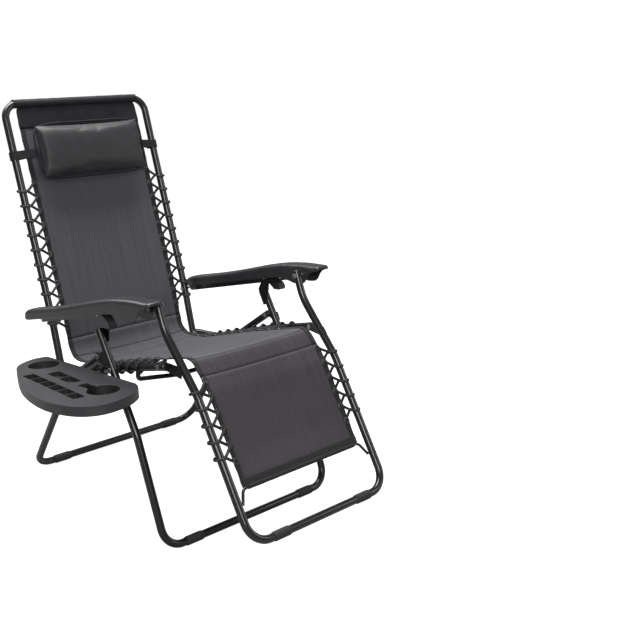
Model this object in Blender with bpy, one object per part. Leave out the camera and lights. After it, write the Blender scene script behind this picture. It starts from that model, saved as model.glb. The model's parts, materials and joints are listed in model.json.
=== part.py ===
"""Folding zero gravity recliner: bent steel tube frames, laced fabric sling,
plastic armrests, head pillow and a clip-on side tray.

Side-view stations are (u, z): u forward from the front foot bar, z up from the
foot bars' centre line.  World axes: +X to the sitter's left, -Y forward, +Z up,
floor at Z = 0.  The origin is the bottom centre of the whole part's bounding box,
tray included, so the chair's own mid plane is X = ORIGIN_X.  Left/right names are
the sitter's left (+X side of that plane) and right.
"""
import bpy
import bmesh
import math
from mathutils import Vector

for _ob in list(bpy.data.objects):
    bpy.data.objects.remove(_ob, do_unlink=True)

# ---------------------------------------------------------------- dimensions
TUBE_R = 0.011            # 22 mm frame tube
TUBE_WALL = 0.0014
SLEEVE_R = 0.0135         # rubber sleeve on the foot bars
PIN_R = 0.0040            # hinge pins and rivets
HOLE_R = 0.0046
HEAD_R = 0.0080
GAP = 0.0004              # working gap between touching pieces
WELD = 0.000002           # mesh points closer than this are one point
ORIGIN_X = 0.118167       # chair mid plane, from the centre of the bounding box
ORIGIN_U = 0.284305       # centre of the bounding box behind the front foot bar
FLOOR = SLEEVE_R          # foot bar centre above the floor

X_BACK = 0.2500           # planes of the tube frames (half widths)
X_RAIL = 0.2765
X_LEG = 0.3035
X_ARM = 0.3000
ARM_W = 0.054
SHEET_X = 0.2130          # half width of the fabric sling
SHEET_T = 0.0040

LINK = 0.1550             # seat line to armrest line
P2 = (-0.590, 0.341)      # seat to back hinge
P3 = (-0.054, 0.502)      # seat to legrest hinge
_sl = math.hypot(P3[0] - P2[0], P3[1] - P2[1])
SEAT_DIR = ((P3[0] - P2[0]) / _sl, (P3[1] - P2[1]) / _sl)
SEAT_UP = (-SEAT_DIR[1], SEAT_DIR[0])
S0_AT = 0.3740            # seat to front leg pivot, along the seat line
S0 = (P2[0] + SEAT_DIR[0] * S0_AT, P2[1] + SEAT_DIR[1] * S0_AT)


def up(p):
    return (p[0] + SEAT_UP[0] * LINK, p[1] + SEAT_UP[1] * LINK)


P1, P4, T0 = up(P2), up(P3), up(S0)      # armrest rear, armrest front, lock bolt
Y0 = (-0.285, 0.475)      # rear leg hinge
BACK_MID = (-0.806, 0.946)
BACK_TOP = (-0.8592, 1.0915)
SHIN = (0.288, 0.116)     # legrest bottom corner
REAR_FOOT = -0.676
FOOT_BEND_R = 0.055
TOP_BEND_R = 0.045

TRAY_X0, TRAY_U0, TRAY_Z0 = -0.331, -0.535, 0.4095
TRAY_SLOPE = math.atan(0.05 / 0.445)
TRAY_SKIRT, TRAY_SKIN = 0.026, 0.003


def W(x, u, z):
    return Vector((ORIGIN_X + x, -(u + ORIGIN_U), z + FLOOR))


# ---------------------------------------------------------------- materials
def mat(name, rgb, rough, metal=0.0):
    m = bpy.data.materials.new(name)
    m.use_nodes = True
    b = m.node_tree.nodes["Principled BSDF"]
    b.inputs["Base Color"].default_value = (*rgb, 1.0)
    b.inputs["Roughness"].default_value = rough
    b.inputs["Metallic"].default_value = metal
    return m


LOOKS = {
    "frame": ((0.012, 0.012, 0.013), 0.25, 0.0),
    "steel": ((0.35, 0.35, 0.36), 0.35, 1.0),
    "plastic": ((0.045, 0.045, 0.048), 0.5, 0.0),
    "rubber": ((0.015, 0.015, 0.016), 0.8, 0.0),
    "mesh": ((0.065, 0.065, 0.072), 0.85, 0.0),
    "cord": ((0.012, 0.012, 0.013), 0.8, 0.0),
    "pad": ((0.02, 0.02, 0.022), 0.7, 0.0),
}


# ---------------------------------------------------------------- builders
def node(name, look, bm, axis=None, parent=None, smooth=35):
    bmesh.ops.recalc_face_normals(bm, faces=bm.faces[:])
    org = W(0, *axis) if axis else Vector((0, 0, 0))
    bmesh.ops.translate(bm, verts=bm.verts[:], vec=-org)
    me = bpy.data.meshes.new(name)
    bm.to_mesh(me)
    bm.free()
    me.shade_smooth()
    me.set_sharp_from_angle(angle=math.radians(smooth))
    ob = bpy.data.objects.new(name, me)
    bpy.context.collection.objects.link(ob)
    me.materials.append(mat(name + "_mat", *LOOKS[look]))
    ob.location = org
    if parent:
        ob.parent = parent
        ob.location = org - world_loc(parent)
    return ob


def world_loc(ob):
    v = ob.location.copy()
    while ob.parent:
        ob = ob.parent
        v += ob.location
    return v


def pivot(name, uz=None, parent=None):
    e = bpy.data.objects.new(name, None)
    bpy.context.collection.objects.link(e)
    org = W(0, *uz) if uz else Vector((0, 0, 0))
    if parent:
        e.parent = parent
        org = org - world_loc(parent)
    e.location = org
    e.empty_display_size = 0.03
    return e


def rounded(corners, radii, seg=4):
    """Polyline with each inner corner replaced by an arc of the given radius."""
    out = [corners[0]]
    for i in range(1, len(corners) - 1):
        a, b, c = corners[i - 1], corners[i], corners[i + 1]
        r = radii[i - 1]
        d1, d2 = (a - b).normalized(), (c - b).normalized()
        ang = d1.angle(d2)
        if r <= 0 or ang > math.radians(179):
            out.append(b)
            continue
        t = r / math.tan(ang / 2)
        centre = b + (d1 + d2).normalized() * (r / math.sin(ang / 2))
        p, q = b + d1 * t - centre, b + d2 * t - centre
        sweep_ang = math.pi - ang
        for k in range(seg + 1):
            f = k / seg
            s = math.sin(sweep_ang)
            v = (p * math.sin((1 - f) * sweep_ang) + q * math.sin(f * sweep_ang)) / s
            out.append(centre + v)
    out.append(corners[-1])
    return out


def tube(path, r, sides=10, wall=0.0, turn=0.0):
    """Round bar, or an open-ended tube when wall is given, along a path."""
    bm = bmesh.new()
    n = len(path)
    tans = []
    for i in range(n):
        a = path[max(i - 1, 0)]
        b = path[min(i + 1, n - 1)]
        if 0 < i < n - 1:
            t = (path[i] - a).normalized() + (b - path[i]).normalized()
        else:
            t = b - a
        tans.append(t.normalized())
    ref = Vector((0, 0, 1)) if abs(tans[0].z) < 0.9 else Vector((1, 0, 0))
    nrm = (ref - tans[0] * ref.dot(tans[0])).normalized()
    shells = [[], []]
    for i in range(n):
        nrm = (nrm - tans[i] * nrm.dot(tans[i])).normalized()
        bi = tans[i].cross(nrm)
        for k, rad in enumerate((r, r - wall)):
            if k and not wall:
                continue
            ring = []
            for j in range(sides):
                a = 2 * math.pi * (j + turn) / sides
                ring.append(bm.verts.new(path[i] + (nrm * math.cos(a) + bi * math.sin(a)) * rad))
            shells[k].append(ring)
    for sh in shells:
        for i in range(len(sh) - 1):
            for j in range(sides):
                k = (j + 1) % sides
                bm.faces.new((sh[i][j], sh[i][k], sh[i + 1][k], sh[i + 1][j]))
    if wall:
        for i in (0, -1):
            for j in range(sides):
                k = (j + 1) % sides
                bm.faces.new((shells[0][i][j], shells[0][i][k], shells[1][i][k], shells[1][i][j]))
    else:
        bm.faces.new(shells[0][0])
        bm.faces.new(shells[0][-1])
    return bm


def lathe_x(uz, stations, sides=12):
    """Turned piece about an axis along X; stations are (x, radius)."""
    bm = bmesh.new()
    rings = []
    for x, r in stations:
        rings.append([bm.verts.new(W(x, uz[0] + r * math.cos(2 * math.pi * j / sides),
                                     uz[1] + r * math.sin(2 * math.pi * j / sides)))
                      for j in range(sides)])
    for a, b in zip(rings, rings[1:]):
        for j in range(sides):
            k = (j + 1) % sides
            bm.faces.new((a[j], a[k], b[k], b[j]))
    bm.faces.new(rings[0])
    bm.faces.new(rings[-1])
    return bm


def plate(outline, x0, x1):
    """Flat plate: a side-view outline between two X planes."""
    bm = bmesh.new()
    a = [bm.verts.new(W(x0, *p)) for p in outline]
    b = [bm.verts.new(W(x1, *p)) for p in outline]
    n = len(outline)
    for j in range(n):
        k = (j + 1) % n
        bm.faces.new((a[j], a[k], b[k], b[j]))
    bm.faces.new(a)
    bm.faces.new(b)
    return bm


def arc(c, r, a0, a1, n=5):
    return [(c[0] + r * math.cos(math.radians(a0 + (a1 - a0) * i / n)),
             c[1] + r * math.sin(math.radians(a0 + (a1 - a0) * i / n))) for i in range(n + 1)]


def loft(sections, cap=True):
    bm = bmesh.new()
    rings = [[bm.verts.new(p) for p in s] for s in sections]
    for a, b in zip(rings, rings[1:]):
        for j in range(len(a)):
            k = (j + 1) % len(a)
            bm.faces.new((a[j], a[k], b[k], b[j]))
    bm.faces.new(rings[0])
    bm.faces.new(rings[-1])
    return bm


def carve(ob, bms, op="DIFFERENCE"):
    """Applies each body to ob in turn, then removes it."""
    for i, bm in enumerate(bms):
        bmesh.ops.recalc_face_normals(bm, faces=bm.faces[:])
        me = bpy.data.meshes.new("cut")
        bm.to_mesh(me)
        bm.free()
        c = bpy.data.objects.new("cut", me)
        bpy.context.collection.objects.link(c)
        c.hide_render = True
        c.display_type = "WIRE"
        m = ob.modifiers.new("cut", "BOOLEAN")
        m.operation = op
        m.solver = "EXACT"
        m.object = c
        bpy.context.view_layer.update()
        ev = ob.evaluated_get(bpy.context.evaluated_depsgraph_get())
        new = bpy.data.meshes.new_from_object(ev)
        new.name = ob.name
        bm = bmesh.new()
        bm.from_mesh(new)
        bmesh.ops.remove_doubles(bm, verts=bm.verts[:], dist=WELD)
        bmesh.ops.dissolve_degenerate(bm, edges=bm.edges[:], dist=WELD)
        bmesh.ops.triangulate(bm, faces=bm.faces[:])
        bm.to_mesh(new)
        bm.free()
        ob.modifiers.clear()
        ob.data = new
        bpy.data.objects.remove(c, do_unlink=True)
    return ob


def pin_hole(uz, x0, x1, r=HOLE_R):
    return lathe_x(uz, [(x0, r), (x1, r)], 12)


def rivet(uz, x0, x1, s, head=0.0030):
    """Headed pin from inner face x0 to outer face x1 on side s."""
    g = GAP
    st = [(x0 - g - head, HEAD_R * 0.7), (x0 - g - head * 0.5, HEAD_R), (x0 - g, HEAD_R), (x0 - g, PIN_R),
          (x1 + g, PIN_R), (x1 + g, HEAD_R), (x1 + g + head * 0.5, HEAD_R), (x1 + g + head, HEAD_R * 0.7)]
    return lathe_x(uz, [(s * x, r) for x, r in st], 12)


def bent(corners, radii, seg=4):
    return rounded([W(*c) for c in corners], radii, seg)


def mirror_path(half):
    return half + [(-x, u, z) for x, u, z in reversed(half)]


SIDES = (("left", 1), ("right", -1))

# pivots: every moving body hangs on an empty on its hinge axis
seat_e = pivot("seat_pivot", S0)
back_e = pivot("back_pivot", P2, seat_e)
legrest_e = pivot("legrest_pivot", P3, seat_e)
arm_e = pivot("armrest_pivot", P1, back_e)
rear_e = pivot("rear_leg_pivot", Y0)

# ---------------------------------------------------------------- front legs
half = [(X_LEG, -0.2975, 0.5470), (X_LEG, -0.1270, 0.2890), (X_LEG, 0.0, 0.0)]
path = bent(mirror_path(half), [0.10, FOOT_BEND_R, FOOT_BEND_R, 0.10])
ob = node("front_leg_frame", "frame", tube(path, TUBE_R, 10, TUBE_WALL))
carve(ob, [pin_hole(S0, s * 0.28, s * 0.32) for _, s in SIDES])

# rear legs hinge behind the front legs, in the same plane
half = [(X_LEG, Y0[0], Y0[1]), (X_LEG, -0.473, 0.334), (X_LEG, REAR_FOOT, 0.0)]
path = bent(mirror_path(half), [0.09, FOOT_BEND_R, FOOT_BEND_R, 0.09])
first = path[0] + (path[0] - path[1]).normalized() * 0.007
last = path[-1] + (path[-1] - path[-2]).normalized() * 0.007
ob = node("rear_leg_frame", "frame", tube([first] + path[1:-1] + [last], TUBE_R, 10, TUBE_WALL), Y0, rear_e)
carve(ob, [pin_hole(Y0, s * 0.28, s * 0.32) for _, s in SIDES])

for nm, s in SIDES:
    for what, u, par, ax in (("front", 0.0, None, None), ("rear", REAR_FOOT, rear_e, Y0)):
        a, b = W(s * 0.182, u, 0.0), W(s * 0.238, u, 0.0)
        node(f"{what}_foot_sleeve_{nm}", "rubber",
             tube([a, b], SLEEVE_R / math.cos(math.pi / 14), 14, SLEEVE_R - TUBE_R - GAP, 0.5), ax, par)

    # plate that carries the rear leg behind the front leg
    A1 = (-0.2500, 0.4750)
    out = arc(Y0, 0.0120, 100, 250, 6) + [(-0.2480, 0.4560), (-0.2385, 0.4665), (-0.2500, 0.4880)]
    ob = node(f"leg_hinge_plate_{nm}", "frame", plate(out, s * (X_LEG + TUBE_R + GAP), s * (X_LEG + TUBE_R + GAP + 0.0032)))
    carve(ob, [pin_hole(Y0, s * 0.31, s * 0.325)])
    node(f"leg_hinge_rivet_{nm}", "steel",
         rivet(Y0, X_LEG - TUBE_R, X_LEG + TUBE_R + GAP + 0.0032, s), Y0)

    # bracket from the top of the front leg to the armrest lock bolt
    xb = X_LEG - TUBE_R - GAP
    out = arc(T0, 0.0125, -20, 150, 7) + [(-0.3110, 0.5560), (-0.3070, 0.5430), (-0.2850, 0.5080), (-0.2700, 0.5180)]
    ob = node(f"arm_support_plate_{nm}", "frame", plate(out, s * (xb - 0.0035), s * xb))
    carve(ob, [pin_hole(T0, s * 0.28, s * 0.30)])
    node(f"lock_bolt_{nm}", "steel", lathe_x(T0, [(s * 0.2770, PIN_R), (s * 0.3215, PIN_R)], 12), T0)

    # lock lever under the armrest
    out = (arc(T0, 0.0105, 75, 262, 8) +
           [(T0[0] + 0.030, T0[1] - 0.0300), (T0[0] + 0.052, T0[1] - 0.0270),
            (T0[0] + 0.055, T0[1] - 0.0180), (T0[0] + 0.046, T0[1] - 0.0080), (T0[0] + 0.020, T0[1] + 0.0040)])
    ob = node(f"lock_lever_{nm}", "plastic", plate(out, s * 0.2950, s * 0.3200), T0)
    carve(ob, [pin_hole(T0, s * 0.29, s * 0.33)])

# ---------------------------------------------------------------- seat
for nm, s in SIDES:
    x = s * X_RAIL
    path = bent([(x, -0.6060, 0.3385), (x, P2[0], P2[1]), (x, -0.4950, 0.3530), (x, S0[0], S0[1]),
                 (x, P3[0], P3[1]), (x, -0.0300, 0.5092)], [0.0, 0.20, 0.60, 0.0], 3)
    ob = node(f"seat_rail_{nm}", "frame", tube(path, TUBE_R, 10, TUBE_WALL), S0, seat_e)
    carve(ob, [pin_hole(p, s * 0.26, s * 0.295) for p in (P2, S0, P3)])
    node(f"seat_pivot_pin_{nm}", "steel", rivet(S0, X_RAIL - TUBE_R, X_LEG + TUBE_R, s), S0, seat_e)
    node(f"back_hinge_pin_{nm}", "steel", rivet(P2, X_BACK - TUBE_R, X_RAIL + TUBE_R, s), P2, back_e)
    node(f"legrest_hinge_pin_{nm}", "steel", rivet(P3, X_RAIL - TUBE_R - GAP - 0.0035, X_RAIL + TUBE_R, s), P3, legrest_e)
    node(f"armrest_rear_pin_{nm}", "steel", rivet(P1, X_BACK - TUBE_R, 0.2815, s), P1, arm_e)
    node(f"armrest_front_pin_{nm}", "steel", rivet(P4, X_BACK - TUBE_R, 0.2815, s), P1, arm_e)

half = [(X_RAIL, -0.155, 0.4570), (X_RAIL, -0.155, 0.4385), (0.16, -0.135, 0.4290)]
node("seat_crossbar", "frame", tube(bent(mirror_path(half), [0.009, 0.25, 0.25, 0.009], 3), 0.0065, 8), S0, seat_e)


# ---------------------------------------------------------------- back and legrest frames
half = [(X_BACK, -0.5600, 0.3345), (X_BACK, -0.5915, 0.3450), (X_BACK, P1[0], P1[1]),
        (X_BACK, BACK_MID[0], BACK_MID[1]), (X_BACK, BACK_TOP[0], BACK_TOP[1])]
path = bent(mirror_path(half), [0.016, 0.0, 0.0, TOP_BEND_R, TOP_BEND_R, 0.0, 0.0, 0.016], 5)
ob = node("back_frame", "frame", tube(path, TUBE_R, 10, TUBE_WALL), P2, back_e)
carve(ob, [pin_hole(p, s * 0.23, s * 0.27) for p in (P2, P1) for _, s in SIDES])

half = [(X_BACK, P4[0] - 0.0060, P4[1] + 0.0130), (X_BACK, P4[0], P4[1]), (X_BACK, -0.0720, 0.5890),
        (X_BACK, 0.0660, 0.4490), (X_BACK, SHIN[0], SHIN[1])]
path = bent(mirror_path(half), [0.0, 0.15, 0.18, 0.060, 0.060, 0.18, 0.15, 0.0], 4)
ob = node("legrest_frame", "frame", tube(path, TUBE_R, 10, TUBE_WALL), P3, legrest_e)
carve(ob, [pin_hole(P4, s * 0.23, s * 0.27) for _, s in SIDES])

half = [(0.2330, 0.2290, 0.2010), (0.2140, 0.2060, 0.2310)]
node("legrest_crossbar", "frame", tube(bent(mirror_path(half), [0.018, 0.018], 3), 0.0040, 8), P3, legrest_e)
for nm, s in SIDES:
    x1 = X_RAIL - TUBE_R - GAP
    out = arc(P3, 0.0120, 110, 290, 7) + [(0.0160, 0.4860), (0.0180, 0.5000), (0.0040, 0.5160)]
    ob = node(f"legrest_plate_{nm}", "frame", plate(out, s * (x1 - 0.0035), s * x1), P3, legrest_e)
    carve(ob, [pin_hole(P3, s * 0.25, s * 0.27)])
    a, b = W(s * 0.125, *SHIN), W(s * 0.180, *SHIN)
    node(f"legrest_sleeve_{nm}", "rubber", tube([a, b], SLEEVE_R, 14, SLEEVE_R - TUBE_R - GAP), P3, legrest_e)

# ---------------------------------------------------------------- armrests
ARM = [(-0.6680, 0.5050, 0.4950, 0.038), (-0.6610, 0.5140, 0.4880, 0.048), (-0.6400, 0.5245, 0.4910, 0.054),
       (-0.5530, 0.5490, 0.5165, 0.054), (-0.4520, 0.5790, 0.5465, 0.054), (-0.3800, 0.6020, 0.5680, 0.054),
       (-0.2930, 0.6330, 0.5930, 0.054), (-0.2000, 0.6600, 0.6180, 0.054), (-0.1500, 0.6700, 0.6160, 0.054),
       (-0.1350, 0.6730, 0.6130, 0.054), (-0.0880, 0.6790, 0.6240, 0.054), (-0.0790, 0.6800, 0.6560, 0.054),
       (-0.0500, 0.6830, 0.6680, 0.052), (-0.0410, 0.6820, 0.6740, 0.044)]


def arm_section(xc, u, top, bot, w, c):
    h = w / 2
    return [W(xc - h, u, bot), W(xc - h, u, top - c), W(xc - h + c * 0.35, u, top - c * 0.3),
            W(xc - h + c * 1.2, u, top), W(xc + h - c * 1.2, u, top), W(xc + h - c * 0.35, u, top - c * 0.3),
            W(xc + h, u, top - c), W(xc + h, u, bot)]


BAR_X0, BAR_X1 = 0.2785, 0.2815
bar_h = 0.0115
for nm, s in SIDES:
    secs = [arm_section(s * X_ARM, u, t, b, w, min(0.010, (t - b) * 0.6)) for u, t, b, w in ARM]
    ob = node(f"armrest_{nm}", "plastic", loft(secs), P1, arm_e)
    inner = []
    for u, t, b, w in ARM[1:-2]:
        h = w / 2 - 0.0030
        uu = u + (0.004 if u < -0.655 else 0.0)
        inner.append([W(s * X_ARM - h, uu, b - 0.03), W(s * X_ARM - h, uu, t - 0.0034),
                      W(s * X_ARM + h, uu, t - 0.0034), W(s * X_ARM + h, uu, b - 0.03)])
    carve(ob, [loft(inner)] + [pin_hole(p, s * 0.268, s * 0.2775, 0.0090) for p in (P1, P4)])

    # steel bar along the inner side, slotted for the lock bolt
    dx, dz = SEAT_DIR
    nx, nz = SEAT_UP

    def off(p, a, b):
        return (p[0] + dx * a + nx * b, p[1] + dz * a + nz * b)

    ang = math.degrees(math.atan2(dz, dx))
    out = arc(P4, bar_h, ang - 90, ang + 90, 6) + arc(P1, bar_h, ang + 90, ang + 270, 6)
    ob = node(f"armrest_bar_{nm}", "frame", plate(out, s * BAR_X0, s * BAR_X1), P1, arm_e)
    slot_r = 0.0047
    fwd, rear = off(T0, 2 * LINK * math.sin(math.radians(20)) + 0.0015, 0), off(T0, -0.0015, 0)
    slot = plate(arc(fwd, slot_r, ang - 90, ang + 90, 6) + arc(rear, slot_r, ang + 90, ang + 270, 6), s * 0.27, s * 0.29)
    carve(ob, [slot, pin_hole(P1, s * 0.27, s * 0.29), pin_hole(P4, s * 0.27, s * 0.29)])

# ---------------------------------------------------------------- fabric sling
def slab(pts, hw, t):
    """Fabric panel through side-view points, thickness t across its own normal."""
    secs = []
    for i, p in enumerate(pts):
        a, b = pts[max(i - 1, 0)], pts[min(i + 1, len(pts) - 1)]
        d = (b[0] - a[0], b[1] - a[1])
        ln = math.hypot(*d)
        nn = (-d[1] / ln * t / 2, d[0] / ln * t / 2)
        secs.append([W(-hw, p[0] - nn[0], p[1] - nn[1]), W(-hw, p[0] + nn[0], p[1] + nn[1]),
                     W(hw, p[0] + nn[0], p[1] + nn[1]), W(hw, p[0] - nn[0], p[1] - nn[1])])
    return loft(secs)


def along(a, b, f):
    return (a[0] + (b[0] - a[0]) * f, a[1] + (b[1] - a[1]) * f)


BACK_LO = along(P1, BACK_MID, -0.16)
back_line = [BACK_LO, P1, BACK_MID, along(BACK_MID, BACK_TOP, 0.88)]
seat_line = [(-0.5480, 0.3640), (-0.4700, 0.3740), (-0.2320, 0.4560), (-0.0700, 0.5060)]
leg_line = [(0.0220, 0.4880), (0.0640, 0.4470), (0.2010, 0.2400)]
node("back_fabric", "mesh", slab(back_line, SHEET_X, SHEET_T), P2, back_e)
node("seat_fabric", "mesh", slab(seat_line, SHEET_X, SHEET_T), S0, seat_e)
node("legrest_fabric", "mesh", slab(leg_line, SHEET_X, SHEET_T), P3, legrest_e)


def lacing(line, x0, x1, n, s, r=0.0015):
    """Elastic cord zig-zagging between fabric edge x0 and frame x1."""
    total = [math.hypot(b[0] - a[0], b[1] - a[1]) for a, b in zip(line, line[1:])]
    pts = []
    for k in range(2 * n + 1):
        d = sum(total) * k / (2 * n)
        i = 0
        while i < len(total) - 1 and d > total[i]:
            d -= total[i]
            i += 1
        p = along(line[i], line[i + 1], min(d / total[i], 1.0))
        pts.append(W(s * (x0 if k % 2 else x1), *p))
    return tube(pts, r, 4)


for nm, s in SIDES:
    node(f"back_lacing_{nm}", "cord", lacing([along(P1, BACK_MID, -0.10), P1, along(P1, BACK_MID, 0.80)], 0.2155, 0.2335, 10, s), P2, back_e)
    node(f"seat_lacing_{nm}", "cord", lacing(seat_line[1:], 0.2155, 0.2335, 8, s), S0, seat_e)
    node(f"legrest_lacing_{nm}", "cord", lacing([along(leg_line[0], leg_line[1], 0.3), leg_line[1], along(leg_line[1], leg_line[2], 0.8)], 0.2155, 0.2335, 6, s), P3, legrest_e)

# ---------------------------------------------------------------- head pillow
bd = (BACK_TOP[0] - BACK_MID[0], BACK_TOP[1] - BACK_MID[1])
_l = math.hypot(*bd)
BD = (bd[0] / _l, bd[1] / _l)
BN = (BD[1], -BD[0])


def onback(x, sdist, off):
    return W(x, BACK_MID[0] + BD[0] * sdist + BN[0] * off, BACK_MID[1] + BD[1] * sdist + BN[1] * off)


pill_e = pivot("pillow_slide", BACK_MID, back_e)
secs = []
for i in range(9):
    f = -1 + 2 * i / 8
    x = 0.195 * math.sin(f * math.pi / 2)
    k = max(1 - abs(f) ** 4, 0.0) ** 0.5 * 0.8 + 0.2
    ring = []
    for j in range(12):
        a = 2 * math.pi * j / 12
        ca, sa = math.cos(a), math.sin(a)
        sx = math.copysign(abs(ca) ** 0.6, ca)
        sy = math.copysign(abs(sa) ** 0.8, sa)
        ring.append(onback(x, 0.004 + 0.088 * sx * (0.85 + 0.15 * k), 0.0300 + 0.024 * sy * k))
    secs.append(ring)
node("pillow", "pad", loft(secs), BACK_MID, pill_e)
for nm, s in SIDES:
    def band(x):
        return [onback(s * x, -0.012, 0.0240), onback(s * x, 0.012, 0.0240),
                onback(s * x, 0.012, 0.0260), onback(s * x, -0.012, 0.0260)]
    node(f"pillow_strap_{nm}", "pad", loft([band(0.1955), band(0.2380)]), BACK_MID, pill_e)

# ---------------------------------------------------------------- side tray
CA, SA = math.cos(TRAY_SLOPE), math.sin(TRAY_SLOPE)


def T(x, v, h):
    """Tray point: x as world, v along the tray from its rear end, h above its top."""
    return W(x, TRAY_U0 + v * CA - h * SA, TRAY_Z0 + v * SA + h * CA)


# outer edge of the tray: (distance out from the straight inner edge, distance along)
TRAY_EDGE = ((0.000, 0.014), (0.012, 0.002), (0.050, 0.000), (0.108, 0.032), (0.150, 0.105), (0.198, 0.215), (0.226, 0.325),
             (0.231, 0.420), (0.207, 0.500), (0.155, 0.538), (0.080, 0.530), (0.022, 0.492), (0.000, 0.450))


def outline(inset, n=3):
    """Smooth closed edge through TRAY_EDGE, moved inwards by inset."""
    e = [Vector((a, b)) for a, b in TRAY_EDGE]
    raw = [e[0]]
    for i in range(len(e) - 1):
        p0, p1, p2, p3 = e[max(i - 1, 0)], e[i], e[i + 1], e[min(i + 2, len(e) - 1)]
        for k in range(1, n + 1):
            f = k / n
            raw.append(0.5 * (2 * p1 + (p2 - p0) * f + (2 * p0 - 5 * p1 + 4 * p2 - p3) * f ** 2
                              + (3 * p1 - p0 - 3 * p2 + p3) * f ** 3))
    pts = []
    m = len(raw)
    for i in range(m):
        d1 = (raw[i] - raw[i - 1]).normalized()
        d2 = (raw[(i + 1) % m] - raw[i]).normalized()
        n1, n2 = Vector((-d1.y, d1.x)), Vector((-d2.y, d2.x))
        q = raw[i] + (n1 + n2) * (inset / (1 + n1.dot(n2)))
        pts.append((TRAY_X0 - max(q.x, 0.0), q.y))
    return pts


def prism(pts, h0, h1):
    bm = bmesh.new()
    a = [bm.verts.new(T(x, v, h0)) for x, v in pts]
    b = [bm.verts.new(T(x, v, h1)) for x, v in pts]
    n = len(pts)
    for j in range(n):
        k = (j + 1) % n
        bm.faces.new((a[j], a[k], b[k], b[j]))
    bm.faces.new(a)
    bm.faces.new(b)
    return bm


def disc(c, r, n=18):
    return [(c[0] + r * math.cos(2 * math.pi * i / n), c[1] + r * math.sin(2 * math.pi * i / n)) for i in range(n)]


def bar(c, length, width, slant=0.0):
    l, w = length / 2, width / 2
    ca, sa = math.cos(slant), math.sin(slant)
    return [(c[0] + p * ca - q * sa, c[1] + p * sa + q * ca) for p, q in ((-w, -l), (w, -l), (w, l), (-w, l))]


CUP_A, CUP_A_R = (-0.3860, 0.082), 0.0430
CUP_B, CUP_B_R = (-0.4180, 0.431), 0.0430
MUG = bar((-0.4240, 0.371), 0.062, 0.026)
SHORT, SHORT_L, SHORT_W, SHORT_T = (-0.4170, 0.242), 0.138, 0.034, 0.090
LONG, LONG_L, LONG_W, LONG_T = (-0.4800, 0.290), 0.305, 0.032, 0.085
ob = node("side_tray", "plastic", prism(outline(0.0), -TRAY_SKIRT, 0.0), smooth=40)
carve(ob, [prism(outline(0.0035), -TRAY_SKIRT - 0.01, -TRAY_SKIN)])
carve(ob, [prism(disc(CUP_A, CUP_A_R + 0.0025), -0.022, -0.0015),
           prism(disc(CUP_B, CUP_B_R + 0.0025), -0.048, -0.0015),
           prism(bar((-0.4240, 0.371), 0.066, 0.031), -0.048, -0.0012),
           prism(bar(SHORT, SHORT_L + 0.005, SHORT_W + 0.005, SHORT_T), -0.016, -0.0015),
           prism(bar(LONG, LONG_L + 0.005, LONG_W + 0.005, LONG_T), -0.016, -0.0015)], "UNION")
cells = []
for c, L, wd, n, sl in ((SHORT, SHORT_L, SHORT_W, 2, SHORT_T), (LONG, LONG_L, LONG_W, 6, LONG_T)):
    for i in range(n):
        d = L * ((i + 0.5) / n - 0.5)
        cells.append(prism(bar((c[0] - d * math.sin(sl), c[1] + d * math.cos(sl)), L / n - 0.003, wd, sl), -0.0135, 0.01))
carve(ob, [prism(disc(CUP_A, CUP_A_R), -0.0195, 0.01), prism(MUG, -0.0454, 0.011), prism(disc(CUP_B, CUP_B_R, 20), -0.0452, 0.012)] + cells)

# wing that holds the tray on the front leg
ob = node("tray_wing", "frame", loft([
    [T(-0.3150, v, h) for v, h in ((0.292, -0.0300), (0.332, -0.0300), (0.332, -0.0270), (0.292, -0.0270))],
    [T(-0.3860, v, h) for v, h in ((0.300, -0.0300), (0.328, -0.0300), (0.328, -0.0270), (0.300, -0.0270))]]))
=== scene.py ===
import bpy, bmesh, json, math
from mathutils import Vector, Matrix, noise

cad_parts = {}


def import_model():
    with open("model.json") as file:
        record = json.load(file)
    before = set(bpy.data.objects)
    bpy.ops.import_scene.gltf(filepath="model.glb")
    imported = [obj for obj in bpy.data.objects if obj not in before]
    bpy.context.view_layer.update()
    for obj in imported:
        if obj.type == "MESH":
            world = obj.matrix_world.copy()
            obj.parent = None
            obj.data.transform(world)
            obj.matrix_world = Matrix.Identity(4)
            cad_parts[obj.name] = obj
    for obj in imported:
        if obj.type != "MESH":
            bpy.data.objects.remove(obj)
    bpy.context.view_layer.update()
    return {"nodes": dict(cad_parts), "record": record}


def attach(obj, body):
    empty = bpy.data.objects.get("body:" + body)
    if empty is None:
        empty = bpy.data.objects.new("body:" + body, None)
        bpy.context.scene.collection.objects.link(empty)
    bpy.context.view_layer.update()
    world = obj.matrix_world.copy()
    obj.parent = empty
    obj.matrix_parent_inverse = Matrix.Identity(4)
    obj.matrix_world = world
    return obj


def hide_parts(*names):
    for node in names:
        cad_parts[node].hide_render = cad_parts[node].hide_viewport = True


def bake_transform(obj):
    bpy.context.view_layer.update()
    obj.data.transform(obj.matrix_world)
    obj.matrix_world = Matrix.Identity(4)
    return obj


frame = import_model()

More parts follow.
